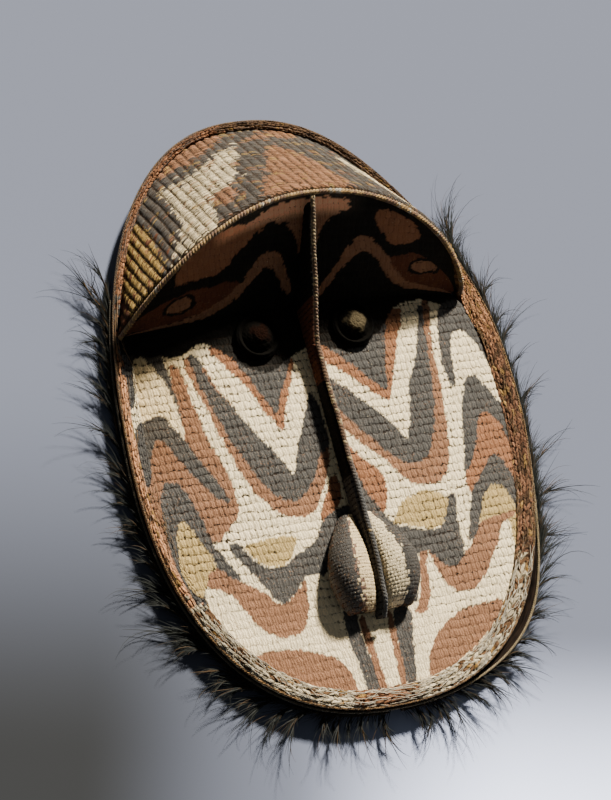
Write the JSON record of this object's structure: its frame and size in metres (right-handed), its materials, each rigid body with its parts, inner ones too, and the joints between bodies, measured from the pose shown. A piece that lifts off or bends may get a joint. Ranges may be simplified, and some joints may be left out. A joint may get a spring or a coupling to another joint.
{
  "type": "basketry mask",
  "caption": "Oval woven spirit mask with an overhanging brow, a fin nose with open nostril wings, ringed eyes, painted bands and a fringe of dark feathers.",
  "frame": {"origin": "middle of the whole mask's box on the plane it lies on, the underside of the rim hoop", "axes": "+X to the wearer's left, +Y from the chin to the crown, +Z out of the face; the mask lies on its open back, face up"},
  "size_m": [0.433, 0.5698, 0.1146],
  "materials": {
    "weave": "coarse twined basketry, painted in matt earth colours",
    "hood": "coarse twined basketry, painted in matt earth colours",
    "braid": "plaited fibre edging, matt white and earth paint",
    "cane": "bare split cane, satin",
    "cord": "two-ply fibre cord, dry",
    "fin": "stiff twined panel, matt grey and white paint",
    "boss": "coiled fibre, blackened, matt",
    "bark": "flattened bark strip, satin brown",
    "feather": "dark loose-barbed feathers, slight sheen"
  },
  "bodies": {
    "root": {"face_weave": "weave", "forehead_hood": "hood", "rim_hoop": "cane", "rim_braid": "braid", "brow_binding": "cord", "nose_ridge": "fin", "nose_cord": "cord", "nostril_left": "fin", "nostril_right": "fin", "eye_left": "boss", "eye_right": "boss", "feather_band": "bark", "feathers_left": "feather", "feathers_chin_left": "feather", "feathers_chin_right": "feather", "feathers_right": "feather"}
  },
  "joints": []
}
